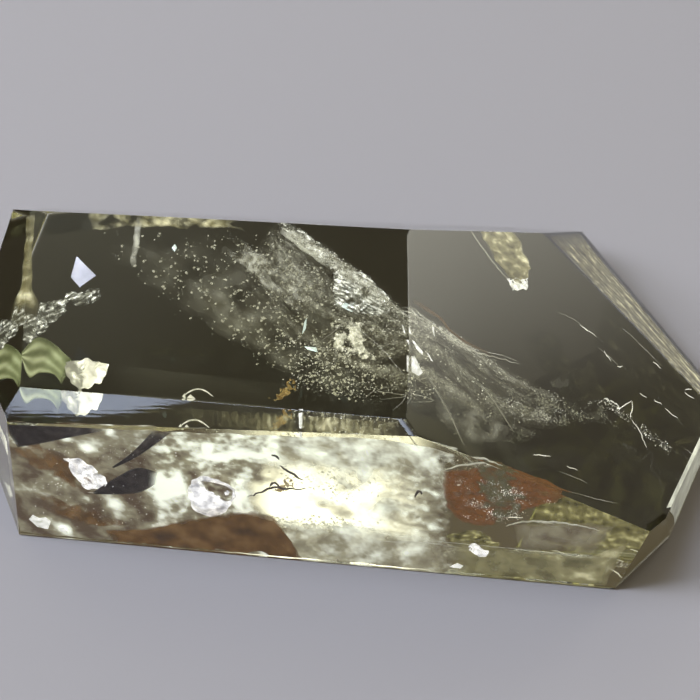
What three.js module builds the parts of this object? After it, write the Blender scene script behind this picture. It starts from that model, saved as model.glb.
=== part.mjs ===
// A polished freeform of clear, pale smoky citrine: one quartz crystal ground to flat facets.
// It lies on its largest flat. Millimetres, +Z up, the long way of the stone along X, and its
// tall front face towards -Y. The origin is the middle of its footprint, on the resting flat.

import * as THREE from "three";
import { ConvexGeometry } from "three/addons/geometries/ConvexGeometry.js";

// The stone is what lies behind all of its facets. bearing is the way a facet looks in plan, in
// degrees from +X towards +Y. rise is how far it looks above the level: 90 is a level top, 0 an
// upright side, and a negative rise an undercut side. reach is how far the facet lies, in
// millimetres, from the point of the resting flat that all of them are measured from.
const FACETS = {
  restingFlat: { bearing: 0, rise: -90, reach: 0 },
  largeTop: { bearing: 214, rise: 85.5, reach: 27.3 },
  slopingTop: { bearing: -5, rise: 64, reach: 28.4 },
  frontShoulder: { bearing: -9, rise: 66.3, reach: 28.25 },
  frontBevel: { bearing: 254.2, rise: 64.1, reach: 23.4 },
  front: { bearing: 263.5, rise: 1.7, reach: -0.15 },
  frontRightCorner: { bearing: 317.4, rise: -12, reach: 27.6 },
  rightEnd: { bearing: 337.3, rise: -2.3, reach: 37.5 },
  rightBevel: { bearing: 27.3, rise: 41.4, reach: 45.2 },
  backRight: { bearing: 34.4, rise: -8, reach: 56.2 },
  backBevel: { bearing: 86.4, rise: 44.2, reach: 44.8 },
  back: { bearing: 97, rise: -8, reach: 57 },
  backLeft: { bearing: 166, rise: -2, reach: 53.2 },
  leftBevel: { bearing: 184.5, rise: 54, reach: 44.6 },
  frontLeft: { bearing: 199.8, rise: 1.2, reach: 39.8 },
};

// Clear quartz with a faint smoky yellow, polished all over.
const CITRINE_COLOUR = "#8f8960";
const POLISH_ROUGHNESS = 0.04;

// Facets whose normals lie this close to one plane meet in no single point, and a corner may
// stand this far (mm) in front of a facet by rounding alone.
const FLATTEST_MEETING = 1e-6;
const ROUNDING = 1e-6;

function facetPlane({ bearing, rise, reach }) {
  const polarAngle = THREE.MathUtils.degToRad(90 - rise);
  const planAngle = THREE.MathUtils.degToRad(bearing);
  const normal = new THREE.Vector3(
    Math.sin(polarAngle) * Math.cos(planAngle),
    Math.sin(polarAngle) * Math.sin(planAngle),
    Math.cos(polarAngle),
  );
  return new THREE.Plane(normal, -reach);
}

// The point where three planes meet, or null if they have none of their own.
function meetingPoint(a, b, c) {
  const normals = new THREE.Matrix3().set(
    a.normal.x, a.normal.y, a.normal.z,
    b.normal.x, b.normal.y, b.normal.z,
    c.normal.x, c.normal.y, c.normal.z,
  );
  if (Math.abs(normals.determinant()) < FLATTEST_MEETING) {
    return null;
  }
  const reaches = new THREE.Vector3(-a.constant, -b.constant, -c.constant);
  return reaches.applyMatrix3(normals.invert());
}

// A corner of the stone is where three facets meet and no other facet has ground it away.
function cornersBehind(planes) {
  const corners = [];
  for (let i = 0; i < planes.length; i += 1) {
    for (let j = i + 1; j < planes.length; j += 1) {
      for (let k = j + 1; k < planes.length; k += 1) {
        const point = meetingPoint(planes[i], planes[j], planes[k]);
        if (point && planes.every((plane) => plane.distanceToPoint(point) < ROUNDING)) {
          corners.push(point);
        }
      }
    }
  }
  return corners;
}

function centreOnFootprint(geometry) {
  geometry.computeBoundingBox();
  const centre = geometry.boundingBox.getCenter(new THREE.Vector3());
  geometry.translate(-centre.x, -centre.y, 0);
}

function citrineMesh() {
  const planes = Object.values(FACETS).map(facetPlane);
  const geometry = new ConvexGeometry(cornersBehind(planes));
  centreOnFootprint(geometry);
  const material = new THREE.MeshStandardMaterial({
    color: CITRINE_COLOUR,
    roughness: POLISH_ROUGHNESS,
    metalness: 0,
  });
  const mesh = new THREE.Mesh(geometry, material);
  mesh.name = "citrine";
  return mesh;
}

const freeform = new THREE.Group();
freeform.add(citrineMesh());

export default freeform;
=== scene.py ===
"""A polished citrine freeform: a clear, pale smoky-yellow quartz block with flat facets.

The stone itself is one see-through solid. The veils, fractures, bubbles, needles and stains that
show inside it are thin meshes of their own that lie wholly within it. Metres, +Z up, origin at the
middle of the footprint. Places and sizes of the flaws are written in millimetres.
"""

import math

import bmesh
import bpy
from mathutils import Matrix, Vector, noise


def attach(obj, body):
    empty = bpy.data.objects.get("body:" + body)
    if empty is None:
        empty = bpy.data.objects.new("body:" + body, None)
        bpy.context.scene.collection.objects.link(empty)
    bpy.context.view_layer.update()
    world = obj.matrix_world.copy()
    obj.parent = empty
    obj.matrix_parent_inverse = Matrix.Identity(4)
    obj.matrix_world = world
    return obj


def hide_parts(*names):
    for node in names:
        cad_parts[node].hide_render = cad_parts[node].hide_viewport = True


MM = 0.001
NOISE_SEED = 8
noise.seed_set(NOISE_SEED)


# ---------------------------------------------------------------- node graphs

class Val:
    """A node socket that can be added, multiplied and mixed like a number."""

    def __init__(self, graph, socket):
        self.graph = graph
        self.socket = socket

    def _maths(self, operation, a, b, clamp=False):
        settings = {"operation": operation, "use_clamp": clamp}
        return self.graph.node("ShaderNodeMath", settings, {0: a, 1: b})

    def __add__(self, other):
        return self._maths("ADD", self, other)

    __radd__ = __add__

    def __sub__(self, other):
        return self._maths("SUBTRACT", self, other)

    def __rsub__(self, other):
        return self._maths("SUBTRACT", other, self)

    def __mul__(self, other):
        return self._maths("MULTIPLY", self, other)

    __rmul__ = __mul__

    def __pow__(self, other):
        return self._maths("POWER", self, other)

    def clamped(self):
        return self._maths("ADD", self, 0.0, clamp=True)


class Graph:
    """A node tree under construction."""

    def __init__(self, tree):
        self.tree = tree
        tree.nodes.clear()

    def put(self, socket, value):
        """Gives a socket a link or a value; a colour is written as its three parts."""
        if isinstance(value, Val):
            self.tree.links.new(value.socket, socket)
        elif socket.type == "RGBA":
            socket.default_value = (*value, 1.0)
        else:
            socket.default_value = value

    def made(self, kind, settings=None, inputs=None):
        """A new node, with its settings set before its sockets."""
        node = self.tree.nodes.new(kind)
        for key, value in (settings or {}).items():
            setattr(node, key, value)
        for key, value in (inputs or {}).items():
            self.put(node.inputs[key], value)
        return node

    def node(self, kind, settings=None, inputs=None, out=0):
        """One output of a new node."""
        return Val(self, self.made(kind, settings, inputs).outputs[out])


class Finish(Graph):
    """A material: one principled shader and the nodes that feed it."""

    def __init__(self, name):
        self.material = bpy.data.materials.new(name)
        self.material.use_nodes = True
        super().__init__(self.material.node_tree)
        self.principled = self.made("ShaderNodeBsdfPrincipled")
        surface = Val(self, self.principled.outputs["BSDF"])
        self.output = self.made("ShaderNodeOutputMaterial", {}, {"Surface": surface})

    def set(self, **values):
        for name, value in values.items():
            self.put(self.principled.inputs[name.replace("_", " ")], value)

    def noise(self, size, detail):
        """Soft noise from 0 to 1, with lumps of about the given size."""
        places = self.node("ShaderNodeTexCoord", out="Object")
        inputs = {"Vector": places, "Scale": 1.0 / size, "Detail": detail}
        return self.node("ShaderNodeTexNoise", {}, inputs)

    def held(self, name):
        """A number that the mesh itself holds at each place."""
        return self.node("ShaderNodeAttribute", {"attribute_name": name}, out="Fac")

    def blend(self, share, first, second):
        """The colour first where share is 0, turning to second where it is 1."""
        inputs = {"Factor_Float": share, "A_Color": first, "B_Color": second}
        mix = self.made("ShaderNodeMix", {"data_type": "RGBA"})
        for socket in mix.inputs:
            if socket.identifier in inputs:
                self.put(socket, inputs[socket.identifier])
        return Val(self, next(socket for socket in mix.outputs if socket.type == "RGBA"))

    def relief(self, height, depth):
        """A normal that follows a height from 0 to 1, standing depth metres tall."""
        inputs = {"Height": height, "Distance": depth, "Strength": 1.0}
        return self.node("ShaderNodeBump", {}, inputs)


class Recipe(Graph):
    """A geometry recipe, with named inputs for its sizes."""

    def __init__(self, name):
        super().__init__(bpy.data.node_groups.new(name, "GeometryNodeTree"))
        self.keys = {}
        for side in ("INPUT", "OUTPUT"):
            self.tree.interface.new_socket("Geometry", in_out=side, socket_type="NodeSocketGeometry")
        self.source = self.made("NodeGroupInput")
        self.result = self.made("NodeGroupOutput")

    def dial(self, name, kind="NodeSocketFloat"):
        socket = self.tree.interface.new_socket(name, in_out="INPUT", socket_type=kind)
        self.keys[name] = socket.identifier
        return Val(self, self.source.outputs[name])

    def vector(self, x, y, z):
        return self.node("ShaderNodeCombineXYZ", {}, {0: x, 1: y, 2: z})

    def chance(self, low, high, seed):
        """A random number between two others for each point."""
        settings = {"data_type": "FLOAT"}
        return self.node("FunctionNodeRandomValue", settings, {2: low, 3: high, 8: seed}, out=1)


# ---------------------------------------------------------------- finishes

QUARTZ_IOR = 1.545
TINT = (0.80, 0.78, 0.52)
TINT_DENSITY = 24.0
PATCH_CONTRAST = 2.4
PATCH_START = 0.7
PATCH_DETAIL = 3.0
SPECK_SHARE = 0.12
SPECK_DETAIL = 2.0


def citrine_finish():
    """Clear polished quartz, tinted a faint smoky yellow by the depth of stone looked through."""
    finish = Finish("clear smoky citrine")
    finish.set(
        Base_Color=(1.0, 1.0, 1.0),
        Roughness=0.0,
        IOR=QUARTZ_IOR,
        Transmission_Weight=1.0,
    )
    tint = {"Color": TINT, "Density": TINT_DENSITY}
    absorption = finish.node("ShaderNodeVolumeAbsorption", {}, tint)
    finish.put(finish.output.inputs["Volume"], absorption)
    return finish.material


def metal_with_painted_glow(finish, colour, painted_glow, **values):
    """Gives a finish for flaws one colour, which it mirrors and also faintly gives off as painted light: a
    glow that stands in for light scattered inside the stone.
    """
    finish.material.cycles.emission_sampling = "NONE"
    finish.set(Base_Color=colour, Emission_Color=colour, Emission_Strength=painted_glow, Metallic=1.0, **values)
    return finish.material


def mirror_finish(name, pale, deep, grain_size, smoothest, roughest, relief, painted_glow, cover=1.0):
    """A gas-filled crack: it mirrors like metal, in patches that are smoother and rougher, and gives off a
    painted glow.
    """
    finish = Finish(name)
    patches = finish.noise(grain_size * MM, PATCH_DETAIL)
    specks = finish.noise(SPECK_SHARE * grain_size * MM, SPECK_DETAIL)
    colour = finish.blend((patches * PATCH_CONTRAST - PATCH_START).clamped(), deep, pale)
    return metal_with_painted_glow(
        finish, colour, painted_glow,
        Roughness=patches * (roughest - smoothest) + smoothest,
        Normal=finish.relief(specks, relief * MM),
        Alpha=cover,
    )


def silk_finish(name, deep, middle, pale, painted_glow, roughness=0.5):
    """A soft film, whose mesh holds how thick and how pale it is at each place; it gives off its colour as
    a painted glow.
    """
    finish = Finish(name)
    paleness = finish.held("paleness")
    deeper = finish.blend((paleness * 2.0).clamped(), deep, middle)
    colour = finish.blend((paleness * 2.0 - 1.0).clamped(), deeper, pale)
    return metal_with_painted_glow(finish, colour, painted_glow, Roughness=roughness, Alpha=finish.held("thickness"))


# ---------------------------------------------------------------- the stone

EDGE_CUTS = 31
HAND_GROUND_WAVE = 0.22 * MM
WAVE_LENGTH = 48 * MM
WAVE_START = Vector((3.1, 7.7, 1.3))
FLAT_REST_HEIGHT = 2 * MM
EDGE_ROUNDING = 0.22 * MM
EDGE_STEPS = 2
SHARP_FROM = math.radians(2.0)
FLAT_FACET_WEIGHT = 100
SAME_PLACE = 1e-6
SAME_WAY = 0.9999
FACING_DOWN = -0.9
SKIN = 0.45 * MM
BASE_SKIN = 0.12 * MM


def shown(name, data):
    """A new object in the scene, with its mesh, lamp or camera."""
    item = bpy.data.objects.new(name, data)
    bpy.context.scene.collection.objects.link(item)
    return item


def hand_ground(point):
    """Where a point of the exact stone lies on the real one, whose facets are slightly domed."""
    wave = noise.noise_vector(point / WAVE_LENGTH + WAVE_START)
    above_base = min(1.0, max(0.0, point.z / FLAT_REST_HEIGHT))
    return point + wave * HAND_GROUND_WAVE * above_base


def polished_stone(node):
    """The stone with its slightly domed facets and softened edges, from its CAD solid."""
    mesh = node.data.copy()
    mesh.materials.clear()
    stone = shown("polished_stone", mesh)
    form = bmesh.new()
    form.from_mesh(mesh)
    bmesh.ops.remove_doubles(form, verts=form.verts, dist=SAME_PLACE)
    bmesh.ops.subdivide_edges(form, edges=form.edges[:], cuts=EDGE_CUTS, use_grid_fill=True)
    for vertex in form.verts:
        vertex.co = hand_ground(vertex.co)
    for face in form.faces:
        face.smooth = True
    form.to_mesh(mesh)
    form.free()
    bevel = stone.modifiers.new("softened edges", "BEVEL")
    bevel.width = EDGE_ROUNDING
    bevel.segments = EDGE_STEPS
    bevel.limit_method = "ANGLE"
    bevel.angle_limit = SHARP_FROM
    weighted = stone.modifiers.new("flat facets", "WEIGHTED_NORMAL")
    weighted.mode = "FACE_AREA"
    weighted.weight = FLAT_FACET_WEIGHT
    mesh.materials.append(citrine_finish())
    return stone


def flat_facets(node):
    """The outward normal of each flat facet of the CAD solid, and its reach from the origin."""
    found = []
    for face in node.data.polygons:
        if not any(normal.dot(face.normal) > SAME_WAY for normal, reach in found):
            found.append((face.normal.copy(), face.normal.dot(face.center)))
    return found


def within_stone(point):
    """The point itself, or where it lies once it is pressed back under the skin of the stone."""
    for normal, reach in FACETS + FACETS:
        skin = BASE_SKIN if normal.z < FACING_DOWN else SKIN
        over = normal.dot(point) - (reach - skin)
        if over > 0:
            point = point - normal * over
    return point


# ---------------------------------------------------------------- rules that give a flaw its pattern

LUMP_STRENGTH = 0.55
LUMP_ROUGHNESS = 0.9
LUMP_GAP = 2.1
LUMP_LAYERS = 4
SPECK_PALENESS = 0.35
SPECK_CONTRAST = 2.6
HAIR_STRETCH = 5.0
RIM_HOLD = 0.35
TORN_BELOW = 0.26
WHOLE_ABOVE = 0.44


def lumps(point, size, seed):
    """Noise from about 0 to 1 that depends only on the place: lumps of about a size in mm."""
    place = point / (size * MM) + Vector((seed, 2.3 * seed, 0.7))
    return 0.5 + LUMP_STRENGTH * noise.fractal(place, LUMP_ROUGHNESS, LUMP_GAP, LUMP_LAYERS)


def grain(point, size, seed):
    """The same lumps, from about -0.5 to 0.5."""
    return lumps(point, size, seed) - 0.5


def speckled(point, size, seed):
    """Paleness of a crack that glitters in specks of about a size in mm."""
    return SPECK_PALENESS + SPECK_CONTRAST * grain(point, size, seed)


def brushed(point, size, seed, east, north):
    """As speckled, with the specks drawn out into hairs along a level direction."""
    along = (east * point.x + north * point.y) / HAIR_STRETCH
    return speckled(Vector((along, east * point.y - north * point.x, point.z)), size, seed)


def hill(x, z, middle_x, middle_z, half_width, half_height):
    """1 at a middle, falling softly to 0 over about twice a half width and a half height."""
    return math.exp(-((x - middle_x) / half_width) ** 2 - ((z - middle_z) / half_height) ** 2)


def step(value, start, stop):
    """0 at start, turning softly to 1 at stop."""
    share = min(1.0, max(0.0, (value - start) / (stop - start)))
    return share * share * (3 - 2 * share)


def edge_share(along, across, fringe):
    """1 inside a sheet, falling to 0 at its rim over a fringe that is a share of its width."""
    rim = min(along, 1 - along, across, 1 - across)
    return min(1.0, rim / fringe)


def wholeness(point, size, seed, inside):
    """How whole a lacy sheet is: less in the gaps between lumps, and towards its rim."""
    return lumps(point, size, seed) * (RIM_HOLD + (1 - RIM_HOLD) * inside)


def ragged(along, across, point, size, seed, fringe=0.3):
    """Cover of a lacy film: 0 in its gaps and at its torn rim, 1 where it is whole."""
    whole = wholeness(point, size, seed, edge_share(along, across, fringe))
    return step(whole, TORN_BELOW, WHOLE_ABOVE)


# ---------------------------------------------------------------- makers for the flaws inside

FILM_THICKNESS = 0.04
THINNEST_SEEN = 0.015


def mm(*places):
    """Places written in millimetres, as points."""
    return [Vector(place) * MM for place in places]


def path_length(points):
    return sum((b - a).length for a, b in zip(points, points[1:]))


def curve_point(points, share):
    """The point that lies a share (0 to 1) of the way along a smooth curve through points."""
    place = min(max(share, 0.0), 1.0) * (len(points) - 1)
    first = min(int(place), len(points) - 2)
    t = place - first
    before, a, b = points[max(first - 1, 0)], points[first], points[first + 1]
    after = points[min(first + 2, len(points) - 1)]
    bend = (2 * before - 5 * a + 4 * b - after) * t * t
    twist = (3 * a - before - 3 * b + after) * t * t * t
    return (2 * a + (b - before) * t + bend + twist) * 0.5


def sheet_point(rows, along, across):
    return curve_point([curve_point(row, along) for row in rows], across)


def finished(name, form, material, smooth=False):
    """A new piece from a bmesh, pressed under the skin of the stone."""
    loose = [vertex for vertex in form.verts if not vertex.link_faces]
    bmesh.ops.delete(form, geom=loose, context="VERTS")
    for vertex in form.verts:
        vertex.co = within_stone(vertex.co)
    for face in form.faces:
        face.smooth = smooth
    mesh = bpy.data.meshes.new(name)
    form.to_mesh(mesh)
    form.free()
    mesh.materials.append(material)
    piece = shown(name, mesh)
    FLAWS.append(piece)
    return piece


def thicken(piece, thickness):
    """Gives a sheet its thickness in millimetres, half on each side."""
    solid = piece.modifiers.new("film thickness", "SOLIDIFY")
    solid.thickness = thickness * MM
    solid.offset = 0.0


def crumpled_grid(form, rows, cell, crumple, seed):
    """Corners of a crumpled sheet through rows of places, lane by lane, with its two counts."""
    rows = [mm(*row) for row in rows]
    length = max(path_length(row) for row in rows)
    width = max((a - b).length for a, b in zip(rows[0], rows[-1]))
    steps = max(3, round(length / (cell * MM)))
    lanes = max(2, round(width / (cell * MM)))
    grid = []
    for i in range(steps + 1):
        lane = []
        for j in range(lanes + 1):
            point = sheet_point(rows, i / steps, j / lanes)
            for depth, size in crumple:
                place = point / (size * MM) + Vector((seed, 0, 5))
                point = point + noise.noise_vector(place) * depth * MM
            lane.append(form.verts.new(point))
        grid.append(lane)
    return grid, steps, lanes


def cell_corners(grid, i, j):
    return grid[i][j], grid[i + 1][j], grid[i + 1][j + 1], grid[i][j + 1]


def film(name, rows, cell, material, crumple=(), lace=0.0, lace_size=2.0, fringe=0.15, seed=1.0,
         smooth=False, thickness=FILM_THICKNESS):
    """A crack: a thin crumpled sheet through rows of places, with a ragged rim and lacy gaps."""
    form = bmesh.new()
    grid, steps, lanes = crumpled_grid(form, rows, cell, crumple, seed)
    for i in range(steps):
        for j in range(lanes):
            inside = edge_share((i + 0.5) / steps, (j + 0.5) / lanes, fringe)
            if wholeness(grid[i][j].co, lace_size, seed, inside) >= lace:
                form.faces.new(cell_corners(grid, i, j))
    piece = finished(name, form, material, smooth)
    thicken(piece, thickness)
    return piece


def silk(name, rows, cell, material, thickness, paleness, crumple=(), seed=1.0):
    """A soft film through rows of places; two rules give its thickness and paleness at each place."""
    form = bmesh.new()
    thick = form.verts.layers.float.new("thickness")
    pale = form.verts.layers.float.new("paleness")
    grid, steps, lanes = crumpled_grid(form, rows, cell, crumple, seed)
    for i, lane in enumerate(grid):
        for j, vertex in enumerate(lane):
            along, across = i / steps, j / lanes
            vertex[thick] = min(1.0, max(0.0, thickness(along, across, vertex.co)))
            vertex[pale] = min(1.0, max(0.0, paleness(along, across, vertex.co)))
    for i in range(steps):
        for j in range(lanes):
            corners = cell_corners(grid, i, j)
            if max(corner[thick] for corner in corners) > THINNEST_SEEN:
                form.faces.new(corners)
    piece = finished(name, form, material, smooth=True)
    thicken(piece, FILM_THICKNESS)
    return piece


THREAD_SIDES = 5
RINGS_PER_MM = 3.0
FEWEST_RINGS = 4
WANDER_LENGTH = 0.8
LOOK_AHEAD = 0.02
THREAD_UP = Vector((0.3, 0.2, 1.0))
THREAD_TAPER = 0.6


def thread_into(form, path, width, wander, seed):
    """Adds a closed thread along a path to a form, thick in the middle and fine at both ends."""
    path = mm(*path)
    rings = max(FEWEST_RINGS, round(path_length(path) / MM * RINGS_PER_MM))
    previous = None
    first_end = form.verts.new(curve_point(path, 0.0))
    for i in range(1, rings):
        share = i / rings
        centre = curve_point(path, share)
        place = centre / (WANDER_LENGTH * MM) + Vector((seed, seed, 0))
        shake = noise.noise_vector(place) * wander * MM
        forward = curve_point(path, share + LOOK_AHEAD) - curve_point(path, share - LOOK_AHEAD)
        forward = forward.normalized()
        side = forward.cross(THREAD_UP).normalized()
        up = side.cross(forward)
        radius = 0.5 * width * MM * math.sin(math.pi * share) ** THREAD_TAPER
        ring = []
        for k in range(THREAD_SIDES):
            turn = 2 * math.pi * k / THREAD_SIDES
            spot = centre + shake + (side * math.cos(turn) + up * math.sin(turn)) * radius
            ring.append(form.verts.new(spot))
        for k in range(THREAD_SIDES):
            after = (k + 1) % THREAD_SIDES
            if previous is None:
                form.faces.new((first_end, ring[after], ring[k]))
            else:
                form.faces.new((previous[k], previous[after], ring[after], ring[k]))
        previous = ring
    last_end = form.verts.new(curve_point(path, 1.0))
    for k in range(THREAD_SIDES):
        form.faces.new((previous[k], previous[(k + 1) % THREAD_SIDES], last_end))


def threads(name, paths, width, material, wander=0.0):
    """Several threads in one piece, such as a group of needles or a set of fine scratches."""
    form = bmesh.new()
    for number, path in enumerate(paths):
        thread_into(form, path, width, wander, seed=number + 1.0)
    bmesh.ops.recalc_face_normals(form, faces=form.faces)
    return finished(name, form, material, smooth=True)


def shard_into(form, corners, lift):
    """Adds one thin many-sided chip to a form: a rim of corners and a raised point on each side."""
    rim = [form.verts.new(corner) for corner in mm(*corners)]
    centre = sum((vertex.co for vertex in rim), Vector()) / len(rim)
    normal = (rim[1].co - rim[0].co).cross(rim[2].co - rim[1].co).normalized()
    tops = [form.verts.new(centre + normal * lift * MM), form.verts.new(centre - normal * lift * MM)]
    for k in range(len(rim)):
        after = (k + 1) % len(rim)
        form.faces.new((rim[k], rim[after], tops[0]))
        form.faces.new((rim[after], rim[k], tops[1]))


def shards(name, chips, lift, material):
    """Several thin chips in one piece, each with a raised point on both sides."""
    form = bmesh.new()
    for corners in chips:
        shard_into(form, corners, lift)
    bmesh.ops.recalc_face_normals(form, faces=form.faces)
    return finished(name, form, material)


HOST_CELL = 0.5
CHIP_NARROWNESS = 0.7
SMALL_ONES_SHARE = 3.0
BUBBLE_SHAPE = {"Radius": 0.5, "Subdivisions": 1}
CHIP_SHAPE = {"Vertices": 3, "Radius Top": 0.0, "Radius Bottom": 0.5, "Depth": 1.0}
BUBBLE_CORNERS = 12
CHIP_CORNERS = 4


def scatter_recipe(bubbles):
    """Chips or bubbles, scattered through a zone on both sides of a sheet of varying richness."""
    recipe = Recipe("bubbles" if bubbles else "chips")
    number = recipe.dial("Number per square metre")
    smallest = recipe.dial("Smallest")
    largest = recipe.dial("Largest")
    spread = recipe.dial("Spread")
    tumble = recipe.dial("Tumble")
    flatness = recipe.dial("Flatness")
    seed = recipe.dial("Seed", "NodeSocketInt")
    finish = recipe.dial("Finish", "NodeSocketMaterial")
    sheet = Val(recipe, recipe.source.outputs["Geometry"])

    richness = recipe.node("GeometryNodeInputNamedAttribute", {"data_type": "FLOAT"}, {"Name": "richness"})
    settings = {"distribute_method": "RANDOM"}
    inputs = {"Mesh": sheet, "Density": richness * number, "Seed": seed}
    scattered = recipe.made("GeometryNodeDistributePointsOnFaces", settings, inputs).outputs
    points = Val(recipe, scattered["Points"])
    facing = Val(recipe, scattered["Rotation"])

    shift = recipe.vector(*[recipe.chance(-1.0, 1.0, seed + k) * spread for k in (1, 2, 3)])
    points = recipe.node("GeometryNodeSetPosition", {}, {"Geometry": points, "Offset": shift})
    turn = recipe.vector(*[recipe.chance(-1.0, 1.0, seed + k) * tumble for k in (4, 5)],
                         recipe.chance(0.0, 2 * math.pi, seed + 6))
    settings = {"rotation_space": "LOCAL"}
    facing = recipe.node("FunctionNodeRotateRotation", settings, {"Rotation": facing, "Rotate By": turn})
    size = smallest + (largest - smallest) * recipe.chance(0.0, 1.0, seed + 7) ** SMALL_ONES_SHARE

    if bubbles:
        shape = recipe.node("GeometryNodeMeshIcoSphere", {}, BUBBLE_SHAPE)
    else:
        shape = recipe.node("GeometryNodeMeshCone", {}, CHIP_SHAPE)
    flat = {"Geometry": shape, "Scale": recipe.vector(1.0, CHIP_NARROWNESS, flatness)}
    shape = recipe.node("GeometryNodeTransform", {}, flat)
    inputs = {"Points": points, "Instance": shape, "Rotation": facing, "Scale": size}
    copies = recipe.node("GeometryNodeInstanceOnPoints", {}, inputs)
    real = recipe.node("GeometryNodeRealizeInstances", {}, {"Geometry": copies})
    real = recipe.node("GeometryNodeSetShadeSmooth", {}, {"Geometry": real, "Shade Smooth": bubbles})
    real = recipe.node("GeometryNodeSetMaterial", {}, {"Geometry": real, "Material": finish})
    recipe.put(recipe.result.inputs["Geometry"], real)
    return recipe


def host_sheet(name, rows, richness):
    """The unseen sheet that a cloud is scattered on, holding how rich the cloud is at each place."""
    rows = [mm(*row) for row in rows]
    length = max(path_length(row) for row in rows)
    width = max(path_length(column) for column in zip(*rows))
    steps = max(4, round(length / (HOST_CELL * MM)))
    lanes = max(3, round(width / (HOST_CELL * MM)))
    places, values, faces = [], [], []
    for i in range(steps + 1):
        for j in range(lanes + 1):
            along, across = i / steps, j / lanes
            point = within_stone(sheet_point(rows, along, across))
            places.append(point)
            values.append(max(0.0, richness(along, across, point)))
    for i in range(steps):
        for j in range(lanes):
            corner = i * (lanes + 1) + j
            faces.append((corner, corner + lanes + 1, corner + lanes + 2, corner + 1))
    mesh = bpy.data.meshes.new(name)
    mesh.from_pydata(places, [], faces)
    mesh.attributes.new("richness", "FLOAT", "POINT").data.foreach_set("value", values)
    return mesh


def whole_inside(mesh, corners):
    """Takes out every chip, of so many corners each, that would cut the skin of the stone."""
    form = bmesh.new()
    form.from_mesh(mesh)
    form.verts.ensure_lookup_table()
    outside = []
    for first in range(0, len(form.verts), corners):
        chip = form.verts[first:first + corners]
        if any(normal.dot(chip[0].co) > reach - SKIN for normal, reach in FACETS):
            outside.extend(chip)
    bmesh.ops.delete(form, geom=outside, context="VERTS")
    form.to_mesh(mesh)
    form.free()


def cloud(name, rows, richness, material, per_mm2, smallest, largest, spread, tumble=25.0,
          flatness=0.25, bubbles=False, seed=1):
    """A cloud of chips or bubbles scattered round a sheet through rows of places."""
    recipe = RECIPES[bubbles]
    piece = shown(name, host_sheet(name, rows, richness))
    scatter = piece.modifiers.new("scatter", "NODES")
    scatter.node_group = recipe.tree
    settings = {
        "Number per square metre": per_mm2 / (MM * MM),
        "Smallest": smallest * MM,
        "Largest": largest * MM,
        "Spread": spread * MM,
        "Tumble": math.radians(tumble),
        "Flatness": 1.0 if bubbles else flatness,
        "Seed": seed,
        "Finish": material,
    }
    for label, value in settings.items():
        scatter[recipe.keys[label]] = value
    made = piece.evaluated_get(bpy.context.evaluated_depsgraph_get())
    mesh = bpy.data.meshes.new_from_object(made)
    piece.modifiers.clear()
    piece.data = mesh
    mesh.materials.clear()
    mesh.materials.append(material)
    mesh.polygons.foreach_set("material_index", [0] * len(mesh.polygons))
    whole_inside(mesh, BUBBLE_CORNERS if bubbles else CHIP_CORNERS)
    FLAWS.append(piece)
    return piece


# ---------------------------------------------------------------- the flaws, one by one

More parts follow.
